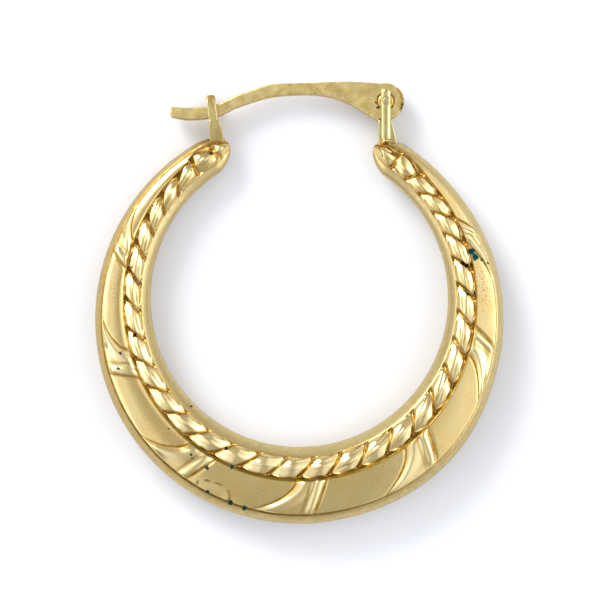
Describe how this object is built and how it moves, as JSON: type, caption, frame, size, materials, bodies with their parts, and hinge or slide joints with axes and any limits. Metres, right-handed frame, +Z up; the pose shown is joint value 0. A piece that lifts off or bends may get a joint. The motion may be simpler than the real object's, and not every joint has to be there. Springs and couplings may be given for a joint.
{
  "type": "creole hoop earring",
  "caption": "Hollow crescent hoop earring with an embossed rope and ribs on both faces, closed by a hinged ear wire that drops into a slotted catch.",
  "frame": {"origin": "on the surface that the earring lies on, under the middle of its outline", "axes": "+Z up, across the hoop's depth; +Y towards the clasp; +X towards the hinge side"},
  "size_m": [0.022, 0.0238, 0.0029],
  "materials": {
    "polished_gold": "polished yellow gold",
    "satin_gold": "satin yellow gold",
    "pin_gold": "filed yellow gold"
  },
  "bodies": {
    "hoop_body": {"hoop": "polished_gold", "hinge_pin": "pin_gold"},
    "ear_wire_body": {"ear_wire": "satin_gold"}
  },
  "joints": [
    {"name": "ear_wire_hinge", "type": "hinge", "parent": "hoop_body", "child": "ear_wire_body", "pos_m": [0.00467, 0.01085, 0.00092], "axis": [0, -0.0275, -0.9996], "range_deg": [0, 95]}
  ]
}
